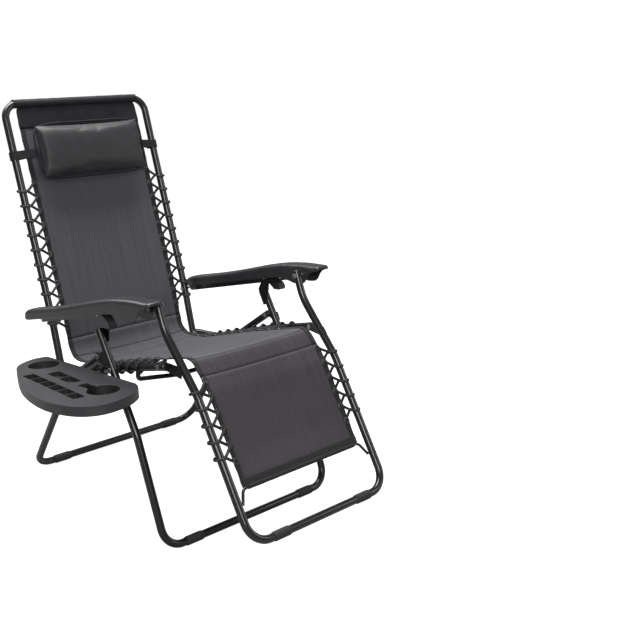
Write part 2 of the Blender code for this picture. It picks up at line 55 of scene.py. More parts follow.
# ------------------------------------------------------------------ stations
OX, OU, FLOOR = 0.118167, 0.284305, 0.0135
TUBE_R = 0.011
X_BACK, X_RAIL, X_LEG = 0.2500, 0.2765, 0.3035
P2, P3, LINK = (-0.590, 0.341), (-0.054, 0.502), 0.155
_l = math.hypot(P3[0] - P2[0], P3[1] - P2[1])
SD = ((P3[0] - P2[0]) / _l, (P3[1] - P2[1]) / _l)
SU = (-SD[1], SD[0])
S0 = (P2[0] + SD[0] * 0.374, P2[1] + SD[1] * 0.374)
P1 = (P2[0] + SU[0] * LINK, P2[1] + SU[1] * LINK)
P4 = (P3[0] + SU[0] * LINK, P3[1] + SU[1] * LINK)
Y0 = (-0.285, 0.475)
BACK_MID, BACK_TOP, SHIN = (-0.806, 0.946), (-0.8592, 1.0915), (0.288, 0.116)


def W(x, u, z):
    return Vector((x + OX, -(u + OU), z + FLOOR))


# ------------------------------------------------------------------ materials
def new_mat(name, rgb, rough, metal=0.0):
    m = bpy.data.materials.new(name)
    m.use_nodes = True
    b = m.node_tree.nodes["Principled BSDF"]
    b.inputs["Base Color"].default_value = (*rgb, 1)
    b.inputs["Roughness"].default_value = rough
    b.inputs["Metallic"].default_value = metal
    return m, m.node_tree.nodes, m.node_tree.links, b


def coords(N, L, kind="Object", scale=(1, 1, 1)):
    t = N.new("ShaderNodeTexCoord")
    mp = N.new("ShaderNodeMapping")
    mp.inputs["Scale"].default_value = scale
    L.new(t.outputs[kind], mp.inputs["Vector"])
    return mp.outputs["Vector"]


def noise_tex(N, L, vec, scale, detail=3.0, rough=0.5):
    n = N.new("ShaderNodeTexNoise")
    n.inputs["Scale"].default_value = scale
    n.inputs["Detail"].default_value = detail
    n.inputs["Roughness"].default_value = rough
    L.new(vec, n.inputs["Vector"])
    return n.outputs["Fac"]


def ramp(N, L, fac, stops):
    r = N.new("ShaderNodeValToRGB")
    e = r.color_ramp.elements
    while len(e) < len(stops):
        e.new(0.5)
    for el, (p, c) in zip(e, stops):
        el.position = p
        el.color = (*c, 1)
    L.new(fac, r.inputs["Fac"])
    return r.outputs["Color"]


def bump(N, L, b, h, strength, dist):
    n = N.new("ShaderNodeBump")
    n.inputs["Strength"].default_value = strength
    n.inputs["Distance"].default_value = dist
    L.new(h, n.inputs["Height"])
    L.new(n.outputs["Normal"], b.inputs["Normal"])
    return n


def math_node(N, L, op, a, b=None):
    n = N.new("ShaderNodeMath")
    n.operation = op
    for i, v in enumerate((a, b)):
        if v is None:
            continue
        if isinstance(v, (int, float)):
            n.inputs[i].default_value = v
        else:
            L.new(v, n.inputs[i])
    return n.outputs[0]


def paint():
    m, N, L, b = new_mat("black_powder_gloss", (0.005, 0.005, 0.0055), 0.22)
    v = coords(N, L)
    f = noise_tex(N, L, v, 40, 4)
    L.new(ramp(N, L, f, [(0.3, (0.0035, 0.0035, 0.004)), (0.8, (0.008, 0.008, 0.009))]), b.inputs["Base Color"])
    r = noise_tex(N, L, v, 900, 2)
    L.new(ramp(N, L, r, [(0.2, (0.27,) * 3), (0.9, (0.38,) * 3)]), b.inputs["Roughness"])
    bump(N, L, b, r, 0.04, 0.0002)
    b.inputs["Coat Weight"].default_value = 0.25
    b.inputs["Coat Roughness"].default_value = 0.12
    return m


def steel():
    m, N, L, b = new_mat("zinc_rivet", (0.45, 0.45, 0.46), 0.35, 1.0)
    f = noise_tex(N, L, coords(N, L), 500, 3)
    L.new(ramp(N, L, f, [(0.3, (0.28, 0.28, 0.29)), (0.8, (0.6, 0.6, 0.61))]), b.inputs["Base Color"])
    bump(N, L, b, f, 0.2, 0.0003)
    return m


def plastic(name, lo, hi, rough=0.45, grain=900):
    m, N, L, b = new_mat(name, lo, rough)
    v = coords(N, L)
    f = noise_tex(N, L, v, 18, 4)
    L.new(ramp(N, L, f, [(0.3, lo), (0.75, hi)]), b.inputs["Base Color"])
    g = noise_tex(N, L, v, grain, 2)
    L.new(ramp(N, L, g, [(0.2, (rough - 0.08,) * 3), (0.8, (rough + 0.10,) * 3)]), b.inputs["Roughness"])
    bump(N, L, b, g, 0.35, 0.0005)
    return m


def rubber():
    m, N, L, b = new_mat("foot_rubber", (0.012, 0.012, 0.013), 0.7)
    f = noise_tex(N, L, coords(N, L), 300, 4)
    L.new(ramp(N, L, f, [(0.3, (0.010,) * 3), (0.8, (0.026, 0.026, 0.027))]), b.inputs["Base Color"])
    bump(N, L, b, f, 0.4, 0.0006)
    return m


def weave(name, base, light, streak=1.0, pitch=0.0021, alpha=1.0):
    """Open vinyl-coated weave: warp and weft ribs with long streaks down the cloth."""
    m, N, L, b = new_mat(name, base, 0.72)
    uv = N.new("ShaderNodeUVMap")
    uv.uv_map = "cloth"
    sep = N.new("ShaderNodeSeparateXYZ")
    L.new(uv.outputs["UV"], sep.inputs[0])
    k = 2 * math.pi / pitch
    wx = math_node(N, L, "SINE", math_node(N, L, "MULTIPLY", sep.outputs[0], k))
    wy = math_node(N, L, "SINE", math_node(N, L, "MULTIPLY", sep.outputs[1], k))
    prod = math_node(N, L, "MULTIPLY", wx, wy)
    h = math_node(N, L, "ADD", math_node(N, L, "MULTIPLY", prod, 0.5), 0.5)
    mp = N.new("ShaderNodeMapping")
    mp.inputs["Scale"].default_value = (150, 3.2, 1)
    L.new(uv.outputs["UV"], mp.inputs["Vector"])
    st = noise_tex(N, L, mp.outputs["Vector"], 1.0, 5, 0.62)
    mp2 = N.new("ShaderNodeMapping")
    mp2.inputs["Scale"].default_value = (4, 4, 1)
    L.new(uv.outputs["UV"], mp2.inputs["Vector"])
    cl = noise_tex(N, L, mp2.outputs["Vector"], 1.0, 3)
    mix = math_node(N, L, "ADD", math_node(N, L, "MULTIPLY", st, 0.85 * streak), math_node(N, L, "MULTIPLY", h, 0.30))
    mix = math_node(N, L, "ADD", mix, math_node(N, L, "MULTIPLY", cl, 0.25))
    mix = math_node(N, L, "MULTIPLY", mix, 0.72 / (0.25 + 0.45 * streak + 0.3) * 0.72)
    dark = tuple(c * 0.62 for c in base)
    L.new(ramp(N, L, mix, [(0.25, dark), (0.48, base), (0.78, light)]), b.inputs["Base Color"])
    bump(N, L, b, h, 0.55, 0.0008)
    b.inputs["Sheen Weight"].default_value = 0.08
    b.inputs["Sheen Roughness"].default_value = 0.4
    b.inputs["Specular IOR Level"].default_value = 0.35
    b.inputs["Alpha"].default_value = alpha
    return m


def cloth(name, base, light, rough=0.6, sheen=0.6, scale=1400, spec=0.3):
    m, N, L, b = new_mat(name, base, rough)
    v = coords(N, L)
    f = noise_tex(N, L, v, 26, 5)
    L.new(ramp(N, L, f, [(0.3, base), (0.8, light)]), b.inputs["Base Color"])
    g = noise_tex(N, L, v, scale, 2)
    bump(N, L, b, g, 0.45, 0.0006)
    b.inputs["Sheen Weight"].default_value = sheen
    b.inputs["Specular IOR Level"].default_value = spec
    b.inputs["Sheen Roughness"].default_value = 0.35
    return m


def cord_mat():
    m, N, L, b = new_mat("braided_cord", (0.012, 0.012, 0.013), 0.65)
    v = coords(N, L)
    w = N.new("ShaderNodeTexWave")
    w.wave_type = "BANDS"
    w.bands_direction = "DIAGONAL"
    w.inputs["Scale"].default_value = 260
    w.inputs["Distortion"].default_value = 1.5
    L.new(v, w.inputs["Vector"])
    L.new(ramp(N, L, w.outputs["Fac"], [(0.2, (0.004,) * 3), (0.9, (0.020, 0.020, 0.022))]), b.inputs["Base Color"])
    bump(N, L, b, w.outputs["Fac"], 0.5, 0.0004)
    return m


M = {
    "frame": paint(), "steel": steel(), "rubber": rubber(),
    "plastic": plastic("armrest_plastic", (0.020, 0.020, 0.022), (0.032, 0.032, 0.035), 0.33),
    "tray": plastic("tray_plastic", (0.022, 0.021, 0.024), (0.034, 0.032, 0.036), 0.44, 1100),
    # darker well plastic: painted shade in the cup wells and cells of the tray
    "well": plastic("tray_well_painted_shade", (0.012, 0.012, 0.013), (0.020, 0.020, 0.022), 0.55, 1100),
    "back": weave("sling_weave", (0.080, 0.078, 0.090), (0.158, 0.154, 0.176)),
    "leg": weave("sling_weave_legrest", (0.051, 0.043, 0.052), (0.096, 0.081, 0.097)),
    "hem": weave("sling_hem", (0.014, 0.014, 0.016), (0.036, 0.036, 0.040), 0.6, 0.0016),
    "pad": cloth("pillow_cloth", (0.010, 0.010, 0.012), (0.019, 0.019, 0.022), 0.54, 0.05, 1400, 0.50),
    "band": cloth("binding_tape", (0.009, 0.009, 0.011), (0.017, 0.017, 0.020), 0.6, 0.02, 1400, 0.2),
    "cord": cord_mat(),
}
SLOT = {"frame": "frame", "steel": "steel", "rubber": "rubber", "plastic": "plastic", "mesh_fabric": "back",
        "cord": "cord", "pillow_fabric": "pad"}
slots = {s["node"]: s["material_slot"] for s in frame["record"]["subparts"]}
for n, ob in frame["nodes"].items():
    ob.data.materials.clear()
    ob.data.materials.append(M[SLOT[slots[n]]])
    for p in ob.data.polygons:
        p.material_index = 0


def bevel(ob, w, seg=2, angle=35):
    b = ob.modifiers.new("edge", "BEVEL")
    b.width = w
    b.segments = seg
    b.limit_method = "ANGLE"
    b.angle_limit = math.radians(angle)
    b.harden_normals = False
    return b


def obj(name, me, mats):
    ob = bpy.data.objects.new(name, me)
    bpy.context.collection.objects.link(ob)
    for m in mats:
        me.materials.append(m)
    return ob


def mesh_of(name, bm, smooth=True, angle=40):
    bmesh.ops.recalc_face_normals(bm, faces=bm.faces[:])
    me = bpy.data.meshes.new(name)
    bm.to_mesh(me)
    bm.free()
    if smooth:
        me.shade_smooth()
        me.set_sharp_from_angle(angle=math.radians(angle))
    return me


# ------------------------------------------------------------------ tube frames
def rounded(corners, radii, seg=12):
    out = [corners[0]]
    for i in range(1, len(corners) - 1):
        a, b, c = corners[i - 1], corners[i], corners[i + 1]
        r = radii[i - 1]
        d1, d2 = (a - b).normalized(), (c - b).normalized()
        ang = d1.angle(d2)
        if r <= 0 or ang > math.radians(179.6):
            out.append(b)
            continue
        t = r / math.tan(ang / 2)
        centre = b + (d1 + d2).normalized() * (r / math.sin(ang / 2))
        p, q = b + d1 * t - centre, b + d2 * t - centre
        sa = math.pi - ang
        for k in range(seg + 1):
            f = k / seg
            out.append(centre + (p * math.sin((1 - f) * sa) + q * math.sin(f * sa)) / math.sin(sa))
    out.append(corners[-1])
    return out


def sweep(name, path, r, mat, sides=28, caps="plug"):
    """Round tube; open ends get a slightly domed plug."""
    bm = bmesh.new()
    n = len(path)
    tans = []
    for i in range(n):
        t = Vector((0, 0, 0))
        if i > 0:
            t += (path[i] - path[i - 1]).normalized()
        if i < n - 1:
            t += (path[i + 1] - path[i]).normalized()
        tans.append(t.normalized())
    ref = Vector((0, 0, 1)) if abs(tans[0].z) < 0.9 else Vector((1, 0, 0))
    nr = (ref - tans[0] * ref.dot(tans[0])).normalized()
    rings = []
    rr = r if callable(r) else (lambda i: r)
    stations = [(i, path[i], rr(i)) for i in range(n)]
    if caps == "plug":
        r0 = rr(0)
        stations = ([(0, path[0] - tans[0] * 0.0016, r0 * 0.55), (0, path[0] - tans[0] * 0.0010, r0 * 0.9)] + stations +
                    [(n - 1, path[-1] + tans[-1] * 0.0010, r0 * 0.9), (n - 1, path[-1] + tans[-1] * 0.0016, r0 * 0.55)])
    for i, p, rad in stations:
        nr = (nr - tans[i] * nr.dot(tans[i])).normalized()
        bi = tans[i].cross(nr)
        rings.append([bm.verts.new(p + (nr * math.cos(2 * math.pi * j / sides) + bi * math.sin(2 * math.pi * j / sides)) * rad)
                      for j in range(sides)])
    for a, b in zip(rings, rings[1:]):
        for j in range(sides):
            k = (j + 1) % sides
            bm.faces.new((a[j], a[k], b[k], b[j]))
    bm.faces.new(rings[0])
    bm.faces.new(rings[-1])
    return obj(name, mesh_of(name, bm), [mat])


def bent(cs, radii, seg=12):
    return rounded([W(*c) for c in cs], radii, seg)


def mir(h):
    return h + [(-x, u, z) for x, u, z in reversed(h)]


def carry(ob, body, *nodes):
    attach(ob, body)
    if nodes:
        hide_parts(*nodes)
    return ob


carry(sweep("front_leg_tube", bent(mir([(X_LEG, -0.2975, 0.5470), (X_LEG, -0.1270, 0.2890), (X_LEG, 0, 0)]),
            [0.10, 0.055, 0.055, 0.10]), TUBE_R, M["frame"]), "front_legs", "front_leg_frame")
carry(sweep("rear_leg_tube", bent(mir([(X_LEG, Y0[0] + 0.0056, Y0[1] + 0.0040), (X_LEG, -0.473, 0.334), (X_LEG, -0.676, 0)]),
            [0.09, 0.055, 0.055, 0.09]), TUBE_R, M["frame"]), "rear_legs", "rear_leg_frame")
back_path = bent(mir([(X_BACK, -0.5600, 0.3345), (X_BACK, -0.5915, 0.3450), (X_BACK, *P1), (X_BACK, *BACK_MID), (X_BACK, *BACK_TOP)]),
                 [0.016, 0, 0, 0.045, 0.045, 0, 0, 0.016])
carry(sweep("back_tube", back_path, TUBE_R, M["frame"]), "back", "back_frame")
carry(sweep("legrest_tube", bent(mir([(X_BACK, P4[0] - 0.0060, P4[1] + 0.0130), (X_BACK, *P4), (X_BACK, -0.0720, 0.5890),
            (X_BACK, 0.0660, 0.4490), (X_BACK, *SHIN)]), [0, 0.15, 0.18, 0.060, 0.060, 0.18, 0.15, 0]), TUBE_R, M["frame"]),
      "legrest", "legrest_frame")
RAIL = [(-0.6060, 0.3385), P2, (-0.4950, 0.3530), S0, P3, (-0.0300, 0.5092)]
for nm, s in (("left", 1), ("right", -1)):
    carry(sweep(f"rail_tube_{nm}", bent([(s * X_RAIL, *p) for p in RAIL], [0, 0.20, 0.60, 0]), TUBE_R, M["frame"]),
          "seat", f"seat_rail_{nm}")
carry(sweep("under_seat_bar", bent(mir([(X_RAIL, -0.155, 0.4570), (X_RAIL, -0.155, 0.4385), (0.16, -0.135, 0.4290)]),
            [0.009, 0.25, 0.25, 0.009]), 0.0065, M["frame"], 18), "seat", "seat_crossbar")
carry(sweep("legrest_rod", bent(mir([(0.2330, 0.2290, 0.2010), (0.2140, 0.2060, 0.2310)]), [0.018, 0.018]), 0.0040,
            M["frame"], 14), "legrest", "legrest_crossbar")


def sleeve(name, x0, x1, u, z, body, node):
    """Ribbed rubber sleeve with soft lips."""
    xs, rs = [], []
    n = 44
    for i in range(n + 1):
        f = i / n
        xs.append(x0 + (x1 - x0) * f)
        rib = 0.00035 * math.cos(2 * math.pi * f * 9)
        lip = 0.0014 * max(0.0, 1 - min(f, 1 - f) * 26)
        rs.append(0.01345 - 0.0004 + rib - lip)
    ob = sweep(name, [W(x, u, z) for x in xs], lambda i: rs[i], M["rubber"], 32, "flat")
    return carry(ob, body, node)


for nm, s in (("left", 1), ("right", -1)):
    sleeve(f"front_sleeve_{nm}", s * 0.182, s * 0.238, 0, 0, "front_legs", f"front_foot_sleeve_{nm}")
    sleeve(f"rear_sleeve_{nm}", s * 0.182, s * 0.238, -0.676, 0, "rear_legs", f"rear_foot_sleeve_{nm}")
    sleeve(f"shin_sleeve_{nm}", s * 0.125, s * 0.180, *SHIN, "legrest", f"legrest_sleeve_{nm}")
for n, ob in frame["nodes"].items():
    if "plate" in n or "bar_" in n or n == "tray_wing":
        bevel(ob, 0.0008)
    elif "lock_lever" in n:
        bevel(ob, 0.0030, 3)

# ------------------------------------------------------------------ sling
SHEET = 0.2130
pts2 = rounded([Vector((0, *p)) for p in (BACK_TOP, BACK_MID, P1, (-0.5940, 0.3560), (-0.4700, 0.3740), (-0.2320, 0.4560),
                                          (-0.0120, 0.5235), (0.0640, 0.4470), (0.2060, 0.2310))],
               [0.3, 0.3, 0.050, 0.2, 0.5, 0.045, 0.1], 16)
line = [(p.y, p.z) for p in pts2]
acc = [0.0]
for a, b in zip(line, line[1:]):
    acc.append(acc[-1] + math.hypot(b[0] - a[0], b[1] - a[1]))
TOTAL = acc[-1]


def at(t):
    t = min(max(t, 0.0), TOTAL)
    i = 0
    while i < len(acc) - 2 and acc[i + 1] < t:
        i += 1
    f = (t - acc[i]) / (acc[i + 1] - acc[i])
    a, b = line[i], line[i + 1]
    return (a[0] + (b[0] - a[0]) * f, a[1] + (b[1] - a[1]) * f)


def frame_at(t):
    a, b = at(t - 0.006), at(t + 0.006)
    l = math.hypot(b[0] - a[0], b[1] - a[1])
    d = ((b[0] - a[0]) / l, (b[1] - a[1]) / l)
    return at(t), d, (-d[1], d[0])          # point, down the cloth, towards the sitter


def t_of(p):
    """Arc length of the sheet's nearest point to p."""
    return min((math.hypot(at(TOTAL * i / 900)[0] - p[0], at(TOTAL * i / 900)[1] - p[1]), TOTAL * i / 900) for i in range(901))[1]


T_BACK0, T_SEAT0 = t_of((-0.612, 0.412)), t_of((-0.520, 0.372))
T_P2, T_P3 = t_of(P2), t_of(P3)
T_SEAT1, T_LEG0 = t_of((-0.085, 0.501)), t_of((0.030, 0.482))
T_P3 = t_of((-0.012, 0.520))


def half_w(t):
    k = min(max((0.040 - t) / 0.040, 0), 1)
    return SHEET - 0.012 * k * k


def sag(t):
    e = min(t / 0.16, 1.0) * min((TOTAL - t) / 0.10, 1.0)
    e = e * e * (3 - 2 * e)
    near = min(abs(t - T_P2), abs(t - T_P3)) / 0.16
    return 0.013 * e * (0.45 + 0.55 * min(near, 1.0))


def cloth_pt(t, x, off=0.0):
    p, d, n = frame_at(t)
    hw = half_w(t)
    k = off - sag(t) * (1 - min(abs(x) / hw, 1.0) ** 2)
    k += 0.0016 * noise.noise(Vector((x * 9, t * 5, 2.7)))
    # the side edge's scallops are made in strip(), which pulls the edge in a little between points one lacing pitch
    # apart
    return W(x, p[0] + n[0] * k, p[1] + n[1] * k)


PITCH = 0.0447


def strip(bm, t0, t1, xa, xb, nt, nx, off, mi, uvl, wide=False):
    grid = []
    for i in range(nt + 1):
        t = t0 + (t1 - t0) * i / nt
        hw = half_w(t)
        row = []
        for j in range(nx + 1):
            x = (xa + (xb - xa) * j / nx) * hw / SHEET
            if abs(abs(x) - hw) < 1e-6:
                ph = (t - 0.02) / PITCH
                x -= math.copysign(0.0016 * abs(math.sin(math.pi * ph)), x)
            row.append((bm.verts.new(cloth_pt(t, x, off)), x, t))
        grid.append(row)
    for a, b in zip(grid, grid[1:]):
        for j in range(nx):
            q = (a[j], a[j + 1], b[j + 1], b[j])
            f = bm.faces.new([v[0] for v in q])
            f.material_index = mi
            f.smooth = True
            for lp, v in zip(f.loops, q):
                lp[uvl].uv = (v[1], v[2])


def cloth_piece(name, t0, t1, mat):
    bm = bmesh.new()
    uvl = bm.loops.layers.uv.new("cloth")
    nt = max(4, int((t1 - t0) / 0.009))
    strip(bm, t0, t1, -SHEET, SHEET, nt, 40, 0.0, 0, uvl)
    for s in (-1, 1):
        strip(bm, t0, t1, s * SHEET, s * (SHEET - 0.0165), nt, 4, 0.0013, 1, uvl)
        strip(bm, t0, t1, s * SHEET, s * (SHEET - 0.0165), nt, 4, -0.0016, 1, uvl)
    me = bpy.data.meshes.new(name)
    bm.to_mesh(me)
    bm.free()
    ob = obj(name, me, [mat, M["hem"]])
    so = ob.modifiers.new("thickness", "SOLIDIFY")
    so.thickness = 0.0011
    so.offset = 0
    bpy.context.view_layer.update()
    ev = ob.evaluated_get(bpy.context.evaluated_depsgraph_get())
    new = bpy.data.meshes.new_from_object(ev)
    ob.modifiers.clear()
    ob.data = new
    return ob


carry(cloth_piece("sling_back", 0.004, T_BACK0, M["back"]), "back", "back_fabric")
carry(cloth_piece("sling_seat", T_SEAT0, T_SEAT1, M["back"]), "seat", "seat_fabric")
carry(cloth_piece("sling_legrest", T_LEG0, TOTAL, M["leg"]), "legrest", "legrest_fabric")
for name, t0, t1, a, b, mt in (("sling_fold_back", T_BACK0, T_P2, "back_pins", "back", "back"),
                               ("sling_fold_seat", T_P2, T_SEAT0, "seat", "back_pins", "back"),
                               ("sling_knee_seat", T_SEAT1, T_P3, "seat", "legrest_pins", "back"),
                               ("sling_knee_leg", T_P3, T_LEG0, "legrest_pins", "legrest", "leg")):
    ob = cloth_piece(name, t0, t1, M[mt])
    if name == "sling_fold_back":
        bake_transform(ob)
    elif name == "sling_fold_seat":
        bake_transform(ob)
    else:
        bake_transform(ob)

# sleeve of dark cloth over the top bar, and the tape under it
top = [Vector((x, 0, 0)) + W(0, *BACK_TOP) for x in [(-0.218 + 0.436 * i / 60) for i in range(61)]]
ob = sweep("top_sleeve", top, lambda i: 0.0131 + 0.0006 * noise.noise(Vector((i * 0.35, 0, 4))), M["band"], 32, "flat")
carry(ob, "back")


def band_strip(name, t0, t1, mat, body, off=0.0018):
    bm = bmesh.new()
    uvl = bm.loops.layers.uv.new("cloth")
    strip(bm, t0, t1, -SHEET, SHEET, 8, 40, off, 0, uvl)
    strip(bm, t0, t1, -SHEET, SHEET, 8, 40, -off, 0, uvl)
    me = bpy.data.meshes.new(name)
    bm.to_mesh(me)
    bm.free()
    ob = obj(name, me, [mat])
    so = ob.modifiers.new("t", "SOLIDIFY")
    so.thickness = 0.0010
    so.offset = 0
    return carry(ob, body)


band_strip("top_binding", 0.010, 0.076, M["band"], "back")
band_strip("legrest_binding", TOTAL - 0.024, TOTAL - 0.002, M["hem"], "legrest")
rod = [W(-0.196 + 0.392 * i / 40, 0.2060, 0.2310) for i in range(41)]
carry(sweep("legrest_hem_roll", rod, lambda i: 0.0060 + 0.0004 * noise.noise(Vector((i * 0.5, 7, 4))), M["hem"], 20, "flat"), "legrest")


# ------------------------------------------------------------------ lacing and eyelets
def smooth_path(pts, n=5):
    out = []
    for i in range(len(pts) - 1):
        p0, p1 = pts[max(i - 1, 0)], pts[i]
        p2, p3 = pts[i + 1], pts[min(i + 2, len(pts) - 1)]
        for k in range(n):
            f = k / n
            out.append(0.5 * ((2 * p1) + (p2 - p0) * f + (2 * p0 - 5 * p1 + 4 * p2 - p3) * f * f + (3 * p1 - p0 - 3 * p2 + p3) * f ** 3))
    out.append(pts[-1])
    return out


def rail_z(u):
    for a, b in zip(RAIL, RAIL[1:]):
        if a[0] <= u <= b[0]:
            return a[1] + (b[1] - a[1]) * (u - a[0]) / (b[0] - a[0])
    return RAIL[0][1]


def lace(name, t0, n, X, body, nodes, seat=False):
    EY = SHEET - 0.0080
    for nm, s in (("left", 1), ("right", -1)):
        def q(x, t, off, tube=False):
            p, d, nn = frame_at(t)
            if tube and seat:
                dz = rail_z(p[0]) - p[1]
                return W(s * x, p[0] + nn[0] * off, p[1] + dz + nn[1] * off)
            hw = half_w(t)
            k = off
            if x < hw:
                k -= sag(t) * (1 - (x / hw) ** 2)
            return W(s * x, p[0] + nn[0] * k, p[1] + nn[1] * k)
        pts, eye = [], bmesh.new()
        for k in range(n):
            t = t0 + k * PITCH
            pts += [q(EY, t, 0.0032), q(X - 0.0165, t + 0.0235, 0.0070, True), q(X, t + 0.0285, 0.0146, True),
                    q(X + 0.0146, t + 0.0235, 0.0, True), q(X, t + 0.0185, -0.0146, True), q(X - 0.0165, t + 0.0225, -0.0070, True),
                    q(EY, t + PITCH, -0.0036)]
        for k in range(n + 1):
            t = t0 + k * PITCH
            c = q(EY, t, 0.0020)
            p, d, nn = frame_at(t)
            ax = (W(0, p[0] + nn[0], p[1] + nn[1]) - W(0, *p)).normalized()
            e1 = Vector((1, 0, 0))
            e2 = ax.cross(e1).normalized()
            ring = []
            for i in range(16):
                a = 2 * math.pi * i / 16
                r = e1 * math.cos(a) + e2 * math.sin(a)
                ring.append([eye.verts.new(c + r * (0.0076 + 0.0030 * math.cos(2 * math.pi * j / 6)) + ax * 0.0018 * math.sin(2 * math.pi * j / 6))
                             for j in range(6)])
            for i in range(16):
                a, b = ring[i], ring[(i + 1) % 16]
                for j in range(6):
                    eye.faces.new((a[j], a[(j + 1) % 6], b[(j + 1) % 6], b[j]))
        ob = sweep(f"{name}_cord_{nm}", smooth_path(pts), 0.0041, M["cord"], 7, "flat")
        carry(ob, body, f"{name}_lacing_{nm}")
        carry(obj(f"{name}_eyelets_{nm}", mesh_of("eye", eye, True, 80), [M["steel_dark"]]), body)


M["steel_dark"] = plastic("eyelet_black", (0.008, 0.008, 0.009), (0.020, 0.020, 0.021), 0.35, 500)
T_LACE = t_of((-0.778, 0.868))
nb = int((T_BACK0 - 0.012 - T_LACE) / PITCH)
lace("back", T_LACE, nb, X_BACK, "back", None)
ns = int((T_SEAT1 - T_SEAT0 - 0.02) / PITCH)
lace("seat", T_SEAT0 + 0.012, ns, X_RAIL, "seat", None, True)
nl = int((TOTAL - 0.045 - T_LEG0) / PITCH)
lace("legrest", T_LEG0 + 0.012, nl, X_BACK, "legrest", None)

# ------------------------------------------------------------------ pillow
_b = (BACK_TOP[0] - BACK_MID[0], BACK_TOP[1] - BACK_MID[1])
_l = math.hypot(*_b)
BD = (_b[0] / _l, _b[1] / _l)
BN = (BD[1], -BD[0])


def onback(x, sd, off):
    return W(x, BACK_MID[0] + BD[0] * sd + BN[0] * off, BACK_MID[1] + BD[1] * sd + BN[1] * off)


bm = bmesh.new()
NX, NS = 40, 20
grid = {}
for side in (1, -1):
    for i in range(NX + 1):
        for j in range(NS + 1):
            fx, fs = -1 + 2 * i / NX, -1 + 2 * j / NS
            edge = max(0.0, (1 - abs(fx) ** 5) * (1 - abs(fs) ** 3.2))
            h = 0.0235 * edge ** 0.55
            if (i in (0, NX) or j in (0, NS)) and side == -1:
                grid[side, i, j] = grid[1, i, j]
                continue
            x = 0.192 * fx * (1 - 0.022 * (1 - fs * fs))
            sd = 0.000 + 0.087 * fs * (1 - 0.05 * (1 - fx * fx))
            h *= 1.0 + (0.22 if side == 1 else 0.0) * math.sin(math.pi * (0.5 + 0.5 * fs)) * (0.6 + 0.8 * fs)
            grid[side, i, j] = bm.verts.new(onback(x, sd, 0.030 + side * h))
for side in (1, -1):
    for i in range(NX):
        for j in range(NS):
            bm.faces.new((grid[side, i, j], grid[side, i + 1, j], grid[side, i + 1, j + 1], grid[side, i, j + 1]))
pillow = obj("head_pillow", mesh_of("head_pillow", bm, True, 180), [M["pad"]])


def apply_mods(ob):
    bpy.context.view_layer.update()
    ev = ob.evaluated_get(bpy.context.evaluated_depsgraph_get())
    me = bpy.data.meshes.new_from_object(ev)
    ob.modifiers.clear()
    ob.data = me
    return ob


rm = pillow.modifiers.new("remesh", "REMESH")
rm.mode = "VOXEL"
rm.voxel_size = 0.0055
apply_mods(pillow)
rest = [v.co.copy() for v in pillow.data.vertices]
cl = pillow.modifiers.new("cloth", "CLOTH")
cs = cl.settings
cs.quality = 5
cs.use_pressure = True
cs.uniform_pressure_force = 4.0
cs.effector_weights.gravity = 0.0
cl.collision_settings.use_self_collision = False
sc = bpy.context.scene
sc.frame_start, sc.frame_end = 1, 20
for f in range(1, 21):
    sc.frame_set(f)
apply_mods(pillow)
sc.frame_set(1)
cap = 0.006
for v, r in zip(pillow.data.vertices, rest):
    d = v.co - r
    if d.length > cap:
        v.co = r + d * (cap / d.length)
ss = pillow.modifiers.new("sub", "SUBSURF")
ss.levels = ss.render_levels = 1
apply_mods(pillow)
for v in pillow.data.vertices:                      # soft creases running in from the ends
    e = max(0.0, abs(v.co.x - OX) - 0.10) / 0.10
    w = noise.noise(Vector((v.co.x * 16, v.co.z * 46, 1.3)))
    w2 = noise.noise(Vector((v.co.x * 7, v.co.z * 16, 9.1)))
    v.co += (onback(0, 0, 1) - onback(0, 0, 0)) * (0.0016 * w * e + 0.0011 * w2)
pillow.data.shade_smooth()
carry(pillow, "pillow", "pillow")
seam = []
for k in range(121):
    a = 2 * math.pi * k / 120
    ca, sa = math.cos(a), math.sin(a)
    fx = math.copysign(min(1, abs(ca) ** 0.42), ca)
    fs = math.copysign(min(1, abs(sa) ** 0.42), sa)
    x = 0.1942 * fx * (1 - 0.022 * (1 - fs * fs))
    seam.append(onback(x, 0.0892 * fs * (1 - 0.05 * (1 - fx * fx)), 0.030))
carry(sweep("pillow_piping", seam, 0.0023, M["band"], 10, "flat"), "pillow")


def flat_band(name, path, d, w, t, mat, body, *nodes):
    """Webbing: a thin band of width w along d, following path."""
    bm = bmesh.new()
    n = len(path)
    rings = []
    for i, p in enumerate(path):
        a, b = path[max(i - 1, 0)], path[min(i + 1, n - 1)]
        nrm = (b - a).normalized().cross(d).normalized()
        rings.append([bm.verts.new(p + d * (sx * w / 2) + nrm * (sy * t / 2)) for sx, sy in ((-1, -1), (1, -1), (1, 1), (-1, 1))])
    for a, b in zip(rings, rings[1:]):
        for j in range(4):
            bm.faces.new((a[j], a[(j + 1) % 4], b[(j + 1) % 4], b[j]))
    bm.faces.new(rings[0])
    bm.faces.new(rings[-1])
    return carry(obj(name, mesh_of(name, bm, True, 30), [mat]), body, *nodes)


dd = (onback(0, 1, 0) - onback(0, 0, 0)).normalized()
for nm, s in (("left", 1), ("right", -1)):
    path = [onback(s * 0.184, 0, 0.0285), onback(s * 0.205, 0, 0.0250), onback(s * 0.228, 0, 0.0190), onback(s * 0.242, 0, 0.0150)]
    for k in range(13):
        a = math.radians(105 - 210 * k / 12)
        path.append(onback(s * (0.250 + 0.0136 * math.cos(a)), 0, 0.0136 * math.sin(a)))
    path += [onback(s * 0.236, 0, -0.0105), onback(s * 0.222, 0, 0.0035), onback(s * 0.205, 0, 0.0165), onback(s * 0.184, 0, 0.0255)]
    flat_band(f"pillow_loop_{nm}", smooth_path(path, 3), dd, 0.024, 0.0014, M["band"], "pillow", f"pillow_strap_{nm}")

